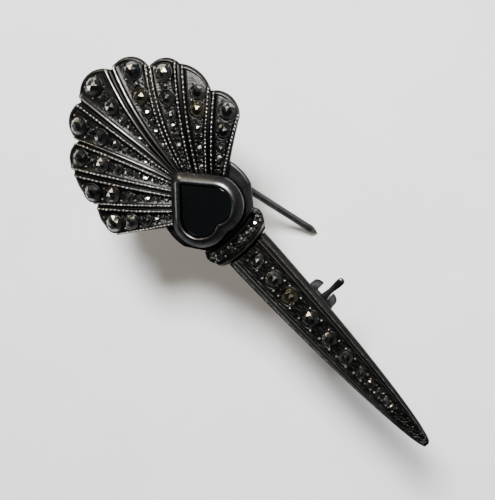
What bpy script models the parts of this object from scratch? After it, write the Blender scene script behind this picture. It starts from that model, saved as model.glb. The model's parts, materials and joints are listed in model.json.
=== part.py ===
"""Shell brooch of oxidised silver, marcasite and onyx, with a hinged pin stem and a roll-over safety catch.

The decorated face looks up (+Z), the fan points to +Y and the spike to -Y. The origin is the middle of
the round backing plate's flat back, which lies on the cloth. Sizes below are in millimetres.
"""

import math

import bmesh
import bpy
from mathutils import Matrix, Vector

MM = 0.001
GAP = 0.05  # between touching pieces

# Backing plate: round above, with straight sides that run in under the collar
PLATE_RADIUS = 7.7
PLATE_SHOULDER = math.radians(-17)  # where the round edge ends
PLATE_WAIST = (5.2, -5.0)
PLATE_FOOT = (3.9, -7.7)
PLATE_STEPS = 48
PLATE_THICKNESS = 0.8
PLATE_EDGE = 0.2

# Heart: two lobe circles and straight sides that meet at a point
LOBE_X = 1.55
LOBE_Y = -0.9
ONYX_LOBE_RADIUS = 2.9
HEART_POINT_Y = 5.0  # of the onyx outline
ONYX_TOP = 3.0
ONYX_CHAMFER = 0.3
BEZEL_WIDTH = 1.65
BEZEL_SHOULDER = 2.7  # height of the rim's outer edge
BEZEL_TOP = 3.6
BEZEL_FLOOR = 1.3

# Fan: the grooves between the petals run from a root to a notch (right half, middle petal first)
GROOVE_ROOTS = ((0.3, 6.1), (0.95, 5.5), (2.05, 4.2), (3.7, 2.8), (5.1, 0.55))
GROOVE_NOTCHES = ((3.5, 24.6), (8.1, 20.7), (12.0, 18.0), (12.75, 11.8), (13.2, 6.0))
GROOVE_BOWS = (0.48, 0.6, 0.15, 0.0, 0.0)  # how far a groove's middle bends towards the fan's axis
LOBE_BULGES = (2.2, 1.9, 1.2, 1.0, 1.45)
PETALS = 9
FAN_ROOT_Z = PLATE_THICKNESS + 0.1
FAN_DOME = 1.2
FAN_SIDE_DROP = 0.5  # share of the dome lost at the fan's two sides
FAN_THICKNESS = 0.8
RAIL_HEIGHT = 0.4
GROOVE_DEPTH = 0.12
PETAL_STEPS = ((0.0, -GROOVE_DEPTH), (0.11, RAIL_HEIGHT), (0.19, 0.0), (0.35, 0.0),
               (0.5, 0.0), (0.65, 0.0), (0.81, 0.0), (0.89, RAIL_HEIGHT))
FAN_ROWS = 10

# Collar
COLLAR_TOP_Y = -5.6
COLLAR_BOTTOM_Y = -9.3
COLLAR_TOP_HALF = 5.2
COLLAR_BOTTOM_HALF = 4.4
COLLAR_SWELL = 0.9
COLLAR_PROFILE = ((0.0, 1.45), (0.12, 1.65), (0.3, 1.7), (0.68, 1.7), (0.78, 1.85), (0.88, 2.25),
                  (0.95, 2.2), (1.0, 1.6))
COLLAR_END_DROP = 0.45
COLLAR_COLUMNS = 16

# Spike
SPIKE_TOP_Y = -9.45
SPIKE_TIP_Y = -49.3
SPIKE_HALF_WIDTH = 3.65
SPIKE_TIP_HALF = 0.3
SPIKE_ROWS = 16
SPIKE_SECTION = ((-1.0, 1.1), (-0.93, 1.5), (-0.68, 1.8), (-0.6, 1.2), (0.0, 1.2), (0.6, 1.2),
                 (0.68, 1.8), (0.93, 1.5), (1.0, 1.1))
SPIKE_TIP_SHARE = 0.6  # of the height that is left at the tip
TONGUE_END_Y = -7.85
TONGUE_HEIGHT = 0.75

# Pin stem, hinge and catch share one line behind the back
PIN_X = 1.2
PIN_Z = -3.1
HINGE_Y = 12.4
STEM_RADIUS = 0.62
STEM_TIP_Y = -24.6
STEM_POINT_LENGTH = 2.2
STEM_POINT_RADIUS = 0.12
STEM_OPEN = math.radians(43)  # how far the stem stands open at rest
EYE_RADIUS = 1.25
EYE_WIDTH = 1.3
RIVET_RADIUS = 0.42
RIVET_HEAD_RADIUS = 0.8
RIVET_HEAD_LENGTH = 0.3
LUG_THICKNESS = 0.65
LUG_GAP = 0.12
LUG_RADIUS = 1.3
PAD_HALF_X = 1.9
PAD_HALF_Y = 1.5
PAD_TOP = 1.68
PAD_THICKNESS = 0.5

CATCH_Y = -21.95
CATCH_RADIUS = 2.8
CATCH_END_RADIUS = 2.1
CATCH_HALF_LENGTH = 2.45
CATCH_SLOT_HALF = 1.1
CATCH_BORE = 1.55
CATCH_MOUTH = 1.5
ROTOR_RADIUS = 1.45
ROTOR_BORE = 0.82
ROTOR_HALF_LENGTH = 2.2
ROTOR_SLOT = 1.5
LEVER_LENGTH = 5.6  # from the rotor's axis
LEVER_WIDTH = 1.15
LEVER_THICKNESS = 0.75
LEVER_OFFSET_Y = -0.45

# Marcasites. On the collar and the spike: place of the centre, and diameter
PETAL_STONE_DIAMETERS = (2.7, 2.4, 1.5)
STONE_OF_PETAL = 0.55  # a stone takes up at most this share of its petal's width
FIRST_STONE_INSET = 2.1  # of the outermost stone's centre, from the petal's tip
BLANK_PETAL = 7  # part of its tip is plain, so its first stone is smaller and further in
BLANK_STONE = (3.0, 2.2)  # inset and diameter
SECOND_STONE_INSET = 3.1  # and this share of the petal's length
SECOND_STONE_SHARE = 0.155
THIRD_STONE_STEP = 2.7  # inwards from the second
COLLAR_STONES = ((-3.9, 1.3), (-2.0, 1.5), (0.0, 1.5), (2.0, 1.5), (3.9, 1.3))
SPIKE_STONES = ((-11.5, 2.2), (-15.2, 2.7), (-18.8, 2.7), (-23.4, 2.7), (-27.6, 2.4), (-31.3, 2.2),
                (-34.6, 1.6), (-36.8, 1.3), (-38.6, 1.1), (-40.2, 1.0), (-41.6, 0.9))
STONE_SIDES = 12
STONE_TURN = 50.0  # degrees from each stone to the next, about its own axis
STONE_GAP = 0.06


def clear_scene():
    for obj in list(bpy.data.objects):
        bpy.data.objects.remove(obj, do_unlink=True)


def make_collection(name):
    collection = bpy.data.collections.new(name)
    bpy.context.scene.collection.children.link(collection)
    return collection


def make_material(name, colour, roughness, metallic):
    material = bpy.data.materials.new(name)
    material.use_nodes = True
    shader = material.node_tree.nodes["Principled BSDF"]
    shader.inputs["Base Color"].default_value = (*colour, 1.0)
    shader.inputs["Roughness"].default_value = roughness
    shader.inputs["Metallic"].default_value = metallic
    return material


def add_object(name, bm, material, collection, origin=(0, 0, 0)):
    """The mesh, built in millimetres, as an object in metres whose origin is at the given point."""
    bmesh.ops.recalc_face_normals(bm, faces=bm.faces)
    bmesh.ops.translate(bm, verts=bm.verts, vec=-Vector(origin))
    bmesh.ops.scale(bm, verts=bm.verts, vec=(MM, MM, MM))
    mesh = bpy.data.meshes.new(name)
    bm.to_mesh(mesh)
    bm.free()
    obj = bpy.data.objects.new(name, mesh)
    obj.location = Vector(origin) * MM
    mesh.materials.append(material)
    collection.objects.link(obj)
    return obj


def round_shading(obj):
    obj.data.shade_smooth()
    obj.data.set_sharp_from_angle(angle=math.radians(35))


def boolean(obj, other, operation):
    modifier = obj.modifiers.new(other.name, "BOOLEAN")
    modifier.operation = operation
    modifier.object = other


def as_cutter(obj):
    obj.hide_render = True
    obj.display_type = "WIRE"
    return obj


def bevel_edges(obj, width, segments):
    modifier = obj.modifiers.new("Bevel", "BEVEL")
    modifier.width = width * MM
    modifier.segments = segments
    modifier.limit_method = "ANGLE"
    modifier.angle_limit = math.radians(50)


def box_mesh(size, centre):
    bm = bmesh.new()
    bmesh.ops.create_cube(bm, size=1.0)
    bmesh.ops.scale(bm, verts=bm.verts, vec=size)
    bmesh.ops.translate(bm, verts=bm.verts, vec=centre)
    return bm


def rod_mesh(radius, length, centre, axis, sides, end_radius=None):
    """A cylinder, or a cone towards +axis, along X, Y or Z."""
    turn = {"X": Matrix.Rotation(math.pi / 2, 4, "Y"), "Y": Matrix.Rotation(-math.pi / 2, 4, "X"),
            "Z": Matrix.Identity(4)}[axis]
    bm = bmesh.new()
    end = radius if end_radius is None else end_radius
    bmesh.ops.create_cone(bm, cap_ends=True, segments=sides, radius1=radius, radius2=end, depth=length,
                          matrix=Matrix.Translation(centre) @ turn)
    return bm


def stacked_mesh(rings):
    """A body through rings of equal point counts, closed by a face at each end."""
    bm = bmesh.new()
    loops = [[bm.verts.new(point) for point in ring] for ring in rings]
    count = len(loops[0])
    for lower, upper in zip(loops, loops[1:]):
        for i in range(count):
            j = (i + 1) % count
            bm.faces.new((lower[i], lower[j], upper[j], upper[i]))
    bm.faces.new(reversed(loops[0]))
    bm.faces.new(loops[-1])
    return bm


def relief_mesh(columns, rows, front, back):
    """A closed plate between two grids of points, front(column, row) and back(column, row)."""
    bm = bmesh.new()
    sides = [[[bm.verts.new(point(c, r)) for c in range(columns)] for r in range(rows)]
             for point in (front, back)]
    for grid in sides:
        for r in range(rows - 1):
            for c in range(columns - 1):
                bm.faces.new((grid[r][c], grid[r][c + 1], grid[r + 1][c + 1], grid[r + 1][c]))
    upper, lower = ([grid[0] + [row[-1] for row in grid[1:-1]] + grid[-1][::-1]
                     + [row[0] for row in grid[-2:0:-1]] for grid in sides])
    for i, vert in enumerate(upper):
        j = (i + 1) % len(upper)
        bm.faces.new((vert, upper[j], lower[j], lower[i]))
    return bm


def heart_outline(offset, height):
    """The onyx heart's outline, moved outwards by the offset, as points at one height."""
    radius = ONYX_LOBE_RADIUS + offset
    centre = Vector((LOBE_X, LOBE_Y))
    to_centre = centre - Vector((0, HEART_POINT_Y))
    lean = math.asin(ONYX_LOBE_RADIUS / to_centre.length)
    side_angle = math.atan2(to_centre.y, to_centre.x) + lean
    normal_angle = side_angle + math.pi / 2
    point_y = HEART_POINT_Y + offset / math.sin(normal_angle)
    cleft_angle = math.acos(LOBE_X / radius) - math.pi
    arc_steps = 13
    half = [(0.0, point_y)]
    for i in range(arc_steps + 1):
        angle = normal_angle + (cleft_angle - normal_angle) * i / arc_steps
        half.append((centre.x + radius * math.cos(angle), centre.y + radius * math.sin(angle)))
    half[-1] = (0.0, half[-1][1])
    left = [(-x, y) for x, y in half[-2:0:-1]]
    return [(x, y, height) for x, y in half + left]


def groove_end(ends, index):
    """Root or notch of a groove, counted from the left side of the fan."""
    half = len(ends)
    if index < half:
        x, y = ends[half - 1 - index]
        return Vector((-x, y))
    return Vector(ends[index - half])


def groove_bow(index):
    """The sideways bend of a groove at its middle."""
    half = len(GROOVE_BOWS)
    bow = GROOVE_BOWS[index - half] if index >= half else -GROOVE_BOWS[half - 1 - index]
    line = groove_end(GROOVE_NOTCHES, index) - groove_end(GROOVE_ROOTS, index)
    return bow * Vector((-line.y, line.x)).normalized()


def petal_edge(petal, across):
    """A point on the petal's round tip, an arc from notch to notch."""
    start = groove_end(GROOVE_NOTCHES, petal)
    end = groove_end(GROOVE_NOTCHES, petal + 1)
    bulge = LOBE_BULGES[abs(petal - PETALS // 2)]
    half_chord = (end - start).length / 2
    radius = (half_chord**2 + bulge**2) / (2 * bulge)
    spread = math.asin(half_chord / radius)
    along = (end - start).normalized()
    outward = Vector((-along.y, along.x))
    centre = (start + end) / 2 + outward * (bulge - radius)
    angle = spread * (2 * across - 1)
    return centre + radius * (along * math.sin(angle) + outward * math.cos(angle))


def fan_back(petal, across, share):
    """A point on the fan's smooth domed back: share runs from the root (0) to the petal's tip (1)."""
    root = groove_end(GROOVE_ROOTS, petal).lerp(groove_end(GROOVE_ROOTS, petal + 1), across)
    bend = groove_bow(petal).lerp(groove_bow(petal + 1), across) * 4 * share * (1 - share)
    place = root.lerp(petal_edge(petal, across), share) + bend
    sideways = (petal + across) * 2 / PETALS - 1
    dome = FAN_DOME * 4 * share * (1 - share) * (1 - FAN_SIDE_DROP * sideways**2)
    return Vector((place.x, place.y, FAN_ROOT_Z + dome))


def fan_floor(petal, across, share):
    return fan_back(petal, across, share) + Vector((0, 0, FAN_THICKNESS))


def fan_column(column):
    """Petal, place across it and relief height of a column of the fan's grid."""
    petal, step = divmod(column, len(PETAL_STEPS))
    if petal == PETALS:
        return PETALS - 1, 1.0, -GROOVE_DEPTH
    return petal, *PETAL_STEPS[step]


def make_shell_fan(material, collection, cutters):
    def back(column, row):
        petal, across, _ = fan_column(column)
        return fan_back(petal, across, row / (FAN_ROWS - 1))

    def front(column, row):
        petal, across, height = fan_column(column)
        share = row / (FAN_ROWS - 1)
        return fan_floor(petal, across, share) + Vector((0, 0, height * min(1.0, 0.4 + 2 * share)))

    bm = relief_mesh(PETALS * len(PETAL_STEPS) + 1, FAN_ROWS, front, back)
    fan = add_object("shell_fan", bm, material, collection)
    pocket = stacked_mesh([heart_outline(BEZEL_WIDTH + GAP, z) for z in (0.0, 5.0)])
    boolean(fan, as_cutter(add_object("bezel_pocket", pocket, material, cutters)), "DIFFERENCE")


def plate_outline(height):
    turns = [PLATE_SHOULDER + (math.pi - 2 * PLATE_SHOULDER) * i / PLATE_STEPS for i in range(PLATE_STEPS + 1)]
    places = [(PLATE_RADIUS * math.cos(turn), PLATE_RADIUS * math.sin(turn)) for turn in turns]
    (waist_x, waist_y), (foot_x, foot_y) = PLATE_WAIST, PLATE_FOOT
    places += [(-waist_x, waist_y), (-foot_x, foot_y), (foot_x, foot_y), (waist_x, waist_y)]
    return [(x, y, height) for x, y in places]


def make_heart_plate(material, collection):
    bm = stacked_mesh([plate_outline(z) for z in (0.0, PLATE_THICKNESS)])
    plate = add_object("heart_plate", bm, material, collection)
    bevel_edges(plate, PLATE_EDGE, 2)
    round_shading(plate)


def make_bezel(material, collection):
    rings = ((BEZEL_WIDTH - 0.15, PLATE_THICKNESS + GAP), (BEZEL_WIDTH, BEZEL_SHOULDER - 0.15),
             (BEZEL_WIDTH - 0.12, BEZEL_SHOULDER), (0.3, BEZEL_TOP), (GAP, BEZEL_TOP - 0.1),
             (GAP, BEZEL_FLOOR))
    bm = stacked_mesh([heart_outline(offset, z) for offset, z in rings])
    add_object("heart_bezel", bm, material, collection)


def make_onyx(material, collection):
    rings = ((0.0, BEZEL_FLOOR + GAP), (0.0, ONYX_TOP - 0.15), (-ONYX_CHAMFER, ONYX_TOP))
    bm = stacked_mesh([heart_outline(offset, z) for offset, z in rings])
    add_object("heart_onyx", bm, material, collection)


def collar_place(across, down):
    """Plan position on the collar: across from -1 to 1, down from its top edge (0) to its rim (1)."""
    half = COLLAR_TOP_HALF + (COLLAR_BOTTOM_HALF - COLLAR_TOP_HALF) * down
    half += COLLAR_SWELL * math.sin(math.pi * down)
    x = across * half
    top = COLLAR_TOP_Y + 0.7 * (x / 5.5) ** 2
    bottom = COLLAR_BOTTOM_Y + 0.9 * abs(x / 5.0) ** 2.4
    return x, top + (bottom - top) * down


def make_collar(material, collection):
    def front(column, row):
        across = 2 * column / COLLAR_COLUMNS - 1
        down, height = COLLAR_PROFILE[row]
        return *collar_place(across, down), height - COLLAR_END_DROP * across**4

    def back(column, row):
        return *collar_place(2 * column / COLLAR_COLUMNS - 1, COLLAR_PROFILE[row][0]), PLATE_THICKNESS + GAP

    bm = relief_mesh(COLLAR_COLUMNS + 1, len(COLLAR_PROFILE), front, back)
    add_object("bow_collar", bm, material, collection)


def spike_half_width(y):
    along = (SPIKE_TOP_Y - y) / (SPIKE_TOP_Y - SPIKE_TIP_Y)
    return SPIKE_TIP_HALF + (SPIKE_HALF_WIDTH - SPIKE_TIP_HALF) * (1 - min(along, 1) ** 1.5) ** 0.57


def spike_height_share(y):
    along = (SPIKE_TOP_Y - y) / (SPIKE_TOP_Y - SPIKE_TIP_Y)
    return 1 - (1 - SPIKE_TIP_SHARE) * along


def spike_row_y(row):
    """The rows lie closer together towards the tip, where the outline is most curved."""
    return SPIKE_TOP_Y + (SPIKE_TIP_Y - SPIKE_TOP_Y) * math.sin(math.pi / 2 * row / (SPIKE_ROWS - 1))


def make_spike(material, collection):
    def front(column, row):
        across, height = SPIKE_SECTION[column]
        y = spike_row_y(row)
        return across * spike_half_width(y), y, height * spike_height_share(y)

    def back(column, row):
        y = spike_row_y(row)
        return SPIKE_SECTION[column][0] * spike_half_width(y), y, 0.0

    bm = relief_mesh(len(SPIKE_SECTION), SPIKE_ROWS, front, back)
    spike = add_object("spike", bm, material, collection)
    length = TONGUE_END_Y - SPIKE_TOP_Y + 1.0
    size = (2 * SPIKE_HALF_WIDTH - 0.8, length, TONGUE_HEIGHT)
    tongue = box_mesh(size, (0, TONGUE_END_Y - length / 2, TONGUE_HEIGHT / 2))
    return spike, tongue


def add_tongue(spike, tongue, material, cutters):
    boolean(spike, as_cutter(add_object("spike_tongue", tongue, material, cutters)), "UNION")


def stone_mesh(diameter):
    """A rose-cut stone on its flat base: a thin girdle, a row of facets and a six-sided crown."""
    crown_sides = STONE_SIDES // 2
    rings = ((0.5, 0.0, STONE_SIDES), (0.5, 0.07, STONE_SIDES), (0.31, 0.25, crown_sides), (0.0, 0.34, 1))
    bm = bmesh.new()
    for radius, height, sides in rings:
        for i in range(sides):
            angle = 2 * math.pi * i / sides
            bm.verts.new(Vector((radius * math.cos(angle), radius * math.sin(angle), height)) * diameter)
    hull = bmesh.ops.convex_hull(bm, input=bm.verts)
    bmesh.ops.delete(bm, geom=[v for v in hull["geom_interior"] if isinstance(v, bmesh.types.BMVert)],
                     context="VERTS")
    return bm


def set_stone(name, number, diameter, seat, normal, material, collection):
    """Sets a stone's base on the metal at the seat, facing along the normal."""
    bm = stone_mesh(diameter)
    spin = Matrix.Rotation(math.radians(STONE_TURN) * number, 4, "Z")
    turn = Vector(normal).to_track_quat("Z", "Y").to_matrix().to_4x4()
    place = Vector(seat) + Vector(normal).normalized() * STONE_GAP
    bmesh.ops.transform(bm, matrix=Matrix.Translation(place) @ turn @ spin, verts=bm.verts)
    add_object(name, bm, material, collection, origin=place)


def petal_width(petal, share):
    return (fan_floor(petal, 1.0, share) - fan_floor(petal, 0.0, share)).xy.length


def petal_stones(petal, length):
    """Inset from the tip and diameter of each of the petal's marcasites."""
    second = SECOND_STONE_INSET + SECOND_STONE_SHARE * length
    insets = (FIRST_STONE_INSET, second, second + THIRD_STONE_STEP)
    stones = [(inset, min(diameter, STONE_OF_PETAL * petal_width(petal, 1 - inset / length)))
              for inset, diameter in zip(insets, PETAL_STONE_DIAMETERS)]
    if petal == BLANK_PETAL:
        stones[0] = BLANK_STONE
    return stones


def set_petal_stones(material, collection):
    for petal in range(PETALS):
        length = (fan_floor(petal, 0.5, 1.0) - fan_floor(petal, 0.5, 0.0)).xy.length
        for number, (inset, diameter) in enumerate(petal_stones(petal, length)):
            share = 1 - inset / length
            step = 0.02
            along = fan_floor(petal, 0.5, share + step) - fan_floor(petal, 0.5, share - step)
            across = fan_floor(petal, 0.6, share) - fan_floor(petal, 0.4, share)
            name = f"petal_{petal + 1}_marcasite_{number + 1}"
            seat = fan_floor(petal, 0.5, share)
            set_stone(name, petal + number, diameter, seat, across.cross(along), material, collection)


def set_collar_stones(material, collection):
    down = 0.5
    widest = COLLAR_TOP_HALF + COLLAR_SWELL
    for number, (x, diameter) in enumerate(COLLAR_STONES):
        across = x / widest
        _, y = collar_place(across, down)
        seat = (x, y, COLLAR_PROFILE[2][1] - COLLAR_END_DROP * across**4)
        slope = -4 * COLLAR_END_DROP * across**3 / widest
        name = f"collar_marcasite_{number + 1}"
        set_stone(name, number, diameter, seat, (-slope, 0, 1), material, collection)


def set_spike_stones(material, collection):
    field_height = SPIKE_SECTION[4][1]
    fall = (1 - SPIKE_TIP_SHARE) / (SPIKE_TOP_Y - SPIKE_TIP_Y) * field_height
    for number, (y, diameter) in enumerate(SPIKE_STONES):
        seat = (0, y, field_height * spike_height_share(y))
        name = f"spike_marcasite_{number + 1}"
        set_stone(name, number, diameter, seat, (0, -fall, 1), material, collection)


def make_hinge(material, rivet_material, collection, cutters):
    lug_x = EYE_WIDTH / 2 + LUG_GAP + LUG_THICKNESS / 2
    pad_size = (2 * PAD_HALF_X, 2 * PAD_HALF_Y, PAD_THICKNESS)
    pad = box_mesh(pad_size, (PIN_X, HINGE_Y, PAD_TOP - PAD_THICKNESS / 2))
    bracket = add_object("hinge_bracket", pad, material, collection)
    for side in (-1, 1):
        x = PIN_X + side * lug_x
        web_top = PAD_TOP - PAD_THICKNESS / 2
        web = box_mesh((LUG_THICKNESS, 2 * LUG_RADIUS, web_top - PIN_Z), (x, HINGE_Y, (web_top + PIN_Z) / 2))
        end = rod_mesh(LUG_RADIUS, LUG_THICKNESS, (x, HINGE_Y, PIN_Z), "X", 24)
        name = "left" if side < 0 else "right"
        boolean(bracket, as_cutter(add_object(f"{name}_lug_web", web, material, cutters)), "UNION")
        boolean(bracket, as_cutter(add_object(f"{name}_lug_end", end, material, cutters)), "UNION")
    hole = rod_mesh(RIVET_RADIUS + GAP, 8, (PIN_X, HINGE_Y, PIN_Z), "X", 20)
    boolean(bracket, as_cutter(add_object("rivet_hole", hole, material, cutters)), "DIFFERENCE")

    outer = lug_x + LUG_THICKNESS / 2 + GAP
    rings = ((-outer - RIVET_HEAD_LENGTH, RIVET_HEAD_RADIUS * 0.7), (-outer - 0.1, RIVET_HEAD_RADIUS),
             (-outer, RIVET_HEAD_RADIUS), (-outer, RIVET_RADIUS), (outer, RIVET_RADIUS),
             (outer, RIVET_HEAD_RADIUS), (outer + 0.1, RIVET_HEAD_RADIUS),
             (outer + RIVET_HEAD_LENGTH, RIVET_HEAD_RADIUS * 0.7))
    sides = 20
    loops = [[(PIN_X + x, HINGE_Y + radius * math.cos(2 * math.pi * i / sides),
               PIN_Z + radius * math.sin(2 * math.pi * i / sides)) for i in range(sides)]
             for x, radius in rings]
    rivet = add_object("hinge_rivet", stacked_mesh(loops), rivet_material, collection)
    round_shading(rivet)


def make_stem(material, collection, cutters):
    """The stem, made lying closed along -Y, and turned open about its rivet."""
    hinge = Vector((PIN_X, HINGE_Y, PIN_Z)) * MM
    pivot = bpy.data.objects.new("stem_pivot", None)
    pivot.location = hinge
    pivot.rotation_euler.x = STEM_OPEN
    collection.objects.link(pivot)
    wire_end = STEM_TIP_Y + STEM_POINT_LENGTH - HINGE_Y
    shapes = {
        "pin_stem": rod_mesh(EYE_RADIUS, EYE_WIDTH, (0, 0, 0), "X", 28),
        "stem_wire": stacked_mesh([
            [(radius * math.cos(2 * math.pi * i / 16), y, radius * math.sin(2 * math.pi * i / 16))
             for i in range(16)]
            for y, radius in ((-EYE_RADIUS + 0.3, STEM_RADIUS), (wire_end, STEM_RADIUS),
                              (wire_end - STEM_POINT_LENGTH * 0.5, STEM_RADIUS * 0.72),
                              (STEM_TIP_Y - HINGE_Y, STEM_POINT_RADIUS))]),
        "eye_hole": rod_mesh(RIVET_RADIUS + GAP, 4, (0, 0, 0), "X", 20),
    }
    made = {}
    for name, bm in shapes.items():
        made[name] = add_object(name, bm, material, collection if name == "pin_stem" else cutters)
        made[name].parent = pivot
    boolean(made["pin_stem"], as_cutter(made["stem_wire"]), "UNION")
    boolean(made["pin_stem"], as_cutter(made["eye_hole"]), "DIFFERENCE")
    round_shading(made["pin_stem"])


def turned_rings(profile, sides):
    """Rings about the catch's axis from (distance along Y, radius) pairs."""
    return [[(radius * math.cos(2 * math.pi * i / sides), y, radius * math.sin(2 * math.pi * i / sides))
             for i in range(sides)] for y, radius in profile]


def make_catch(material, rotor_material, collection, cutters):
    centre = Vector((PIN_X, CATCH_Y, PIN_Z))

    def helper(name, bm):
        obj = as_cutter(add_object(name, bm, material, cutters))
        obj.location = centre * MM
        return obj

    shoulder = CATCH_HALF_LENGTH - 0.7
    profile = ((-CATCH_HALF_LENGTH, CATCH_END_RADIUS), (-shoulder, CATCH_RADIUS - 0.1),
               (-CATCH_SLOT_HALF, CATCH_RADIUS), (CATCH_SLOT_HALF, CATCH_RADIUS),
               (shoulder, CATCH_RADIUS - 0.1), (CATCH_HALF_LENGTH, CATCH_END_RADIUS))
    housing = add_object("catch_housing", stacked_mesh(turned_rings(profile, 36)), material, collection)
    housing.location = centre * MM
    pad_height = 1.6
    pad_top = -PIN_Z - GAP
    reach = CATCH_RADIUS + 1.0
    slot_size = (2 * reach, 2 * CATCH_SLOT_HALF, 2 * reach)
    boolean(housing, helper("ear_slot", box_mesh(slot_size, (0, 0, -0.9))), "DIFFERENCE")
    pad_size = (3.6, 2 * CATCH_HALF_LENGTH, pad_height)
    boolean(housing, helper("catch_pad", box_mesh(pad_size, (0, 0, pad_top - pad_height / 2))), "UNION")
    above = box_mesh((2 * reach, 2 * reach, 2), (0, 0, pad_top + 1))
    boolean(housing, helper("spike_back_plane", above), "DIFFERENCE")
    bore = rod_mesh(CATCH_BORE, 8, (0, 0, 0), "Y", 28)
    boolean(housing, helper("catch_bore", bore), "DIFFERENCE")
    mouth = box_mesh((CATCH_MOUTH, 8, reach), (0, 0, -reach / 2))
    boolean(housing, helper("catch_mouth", mouth), "DIFFERENCE")
    round_shading(housing)

    barrel = rod_mesh(ROTOR_RADIUS, 2 * ROTOR_HALF_LENGTH, (0, 0, 0), "Y", 28)
    rotor = add_object("catch_rotor", barrel, rotor_material, collection)
    rotor.location = centre * MM
    lever_size = (LEVER_LENGTH - ROTOR_BORE - 0.3, LEVER_WIDTH, LEVER_THICKNESS)
    lever = box_mesh(lever_size, (LEVER_LENGTH - lever_size[0] / 2, LEVER_OFFSET_Y, 0))
    boolean(rotor, helper("lever", lever), "UNION")
    boolean(rotor, helper("rotor_bore", rod_mesh(ROTOR_BORE, 8, (0, 0, 0), "Y", 20)), "DIFFERENCE")
    slot = box_mesh((ROTOR_SLOT, 8, reach), (0, 0, -reach / 2))
    boolean(rotor, helper("rotor_slot", slot), "DIFFERENCE")
    round_shading(rotor)


def build():
    clear_scene()
    collection = make_collection("shell_brooch")
    cutters = make_collection("cutters")
    silver = make_material("oxidised_silver", (0.16, 0.155, 0.15), 0.32, 1.0)
    polished = make_material("polished_silver", (0.42, 0.41, 0.4), 0.2, 1.0)
    steel = make_material("stem_steel", (0.3, 0.3, 0.31), 0.25, 1.0)
    marcasite = make_material("marcasite", (0.3, 0.28, 0.25), 0.12, 1.0)
    onyx = make_material("onyx", (0.01, 0.011, 0.012), 0.06, 0.0)
    make_shell_fan(silver, collection, cutters)
    make_heart_plate(silver, collection)
    make_bezel(polished, collection)
    make_onyx(onyx, collection)
    make_collar(silver, collection)
    add_tongue(*make_spike(silver, collection), silver, cutters)
    make_hinge(silver, steel, collection, cutters)
    make_stem(steel, collection, cutters)
    make_catch(silver, polished, collection, cutters)
    set_petal_stones(marcasite, collection)
    set_collar_stones(marcasite, collection)
    set_spike_stones(marcasite, collection)


build()
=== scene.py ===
"""Looks of the shell brooch: oxidised silver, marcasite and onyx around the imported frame.

Shapes are worked out in millimetres in the frame's own axes: +Y to the fan's tip, +Z out of the face.
"""
import json
import math

import bmesh
import bpy
import numpy as np
from mathutils import Matrix, Vector


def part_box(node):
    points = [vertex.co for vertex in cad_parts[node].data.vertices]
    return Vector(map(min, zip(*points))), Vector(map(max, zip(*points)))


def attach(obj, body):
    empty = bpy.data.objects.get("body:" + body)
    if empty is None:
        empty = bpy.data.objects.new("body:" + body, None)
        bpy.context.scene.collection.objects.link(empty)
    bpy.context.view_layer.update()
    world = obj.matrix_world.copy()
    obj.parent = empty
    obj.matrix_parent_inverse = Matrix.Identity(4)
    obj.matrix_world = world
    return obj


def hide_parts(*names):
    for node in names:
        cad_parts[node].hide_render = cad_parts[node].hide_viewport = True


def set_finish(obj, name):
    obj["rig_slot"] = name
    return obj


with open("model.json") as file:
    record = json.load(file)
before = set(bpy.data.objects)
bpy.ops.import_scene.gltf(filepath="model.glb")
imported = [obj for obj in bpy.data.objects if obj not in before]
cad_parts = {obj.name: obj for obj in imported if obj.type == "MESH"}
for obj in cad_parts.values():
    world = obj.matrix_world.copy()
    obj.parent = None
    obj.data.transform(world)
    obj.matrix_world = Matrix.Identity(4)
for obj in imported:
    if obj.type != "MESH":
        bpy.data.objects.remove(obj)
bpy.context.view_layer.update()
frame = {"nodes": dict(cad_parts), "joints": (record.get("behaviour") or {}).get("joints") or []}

MM = 0.001


def mm(vector):
    """A point of the frame, in millimetres."""
    return np.array(vector, float) / MM


# ---------------- sizes from the frame

JOINTS = {joint["name"]: joint for joint in frame["joints"]}
HINGE = mm(JOINTS["stem_hinge"]["pos_m"])
CATCH = mm(JOINTS["catch_turn"]["pos_m"])
PLATE_LOW, PLATE_HIGH = map(mm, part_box("heart_plate"))
PLATE_RADIUS = (PLATE_HIGH[0] - PLATE_LOW[0]) / 2
PLATE_TOP = PLATE_HIGH[2]
BEZEL_LOW, BEZEL_HIGH = map(mm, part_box("heart_bezel"))
ONYX_LOW, ONYX_HIGH = map(mm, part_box("heart_onyx"))
SPIKE_LOW, SPIKE_HIGH = map(mm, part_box("spike"))
COLLAR_LOW = mm(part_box("bow_collar")[0])
STEM_LOW = mm(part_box("pin_stem")[0])

# ---------------- driving sizes, in millimetres

LOBE = np.array((1.55, -0.9))  # centre of the heart's right lobe
PLATE_SHOULDER = math.radians(-17)  # where the plate's round edge ends
PLATE_WAIST = (5.2, -5.0)
PLATE_FOOT = (3.9, -7.7)
ONYX_LOBE_RADIUS = 2.9
HEART_POINT_Y = 5.0
HEART_POINT_RADIUS = 0.3
BEZEL_WIDTH = 1.65
BEZEL_SHOULDER = 2.7

GROOVE_ROOTS = ((0.3, 6.1), (0.95, 5.5), (2.05, 4.2), (3.7, 2.8), (5.1, 0.55))
GROOVE_NOTCHES = ((3.5, 24.6), (8.1, 20.7), (12.0, 18.0), (12.75, 11.8), (13.2, 6.0))
GROOVE_BOWS = (0.48, 0.6, 0.15, 0.0, 0.0)  # how far a groove's middle bends towards the fan's axis
LOBE_BULGES = (2.2, 1.9, 1.2, 1.0, 1.45)
PETALS = 9
MIDDLE_PETAL = PETALS // 2
FAN_ROOT_Z = 0.9
FAN_DOME = 1.2
FAN_SIDE_DROP = 0.5
FAN_THICKNESS = 0.8
RAIL_HEIGHT = 0.42
GROOVE_DEPTH = 0.16
TIP_RIM = 0.2
SMOOTH_RAILS = {(3, 0), (4, 0), (4, 1), (5, 0)}  # (petal, side): polished rails, with no beads

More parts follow.
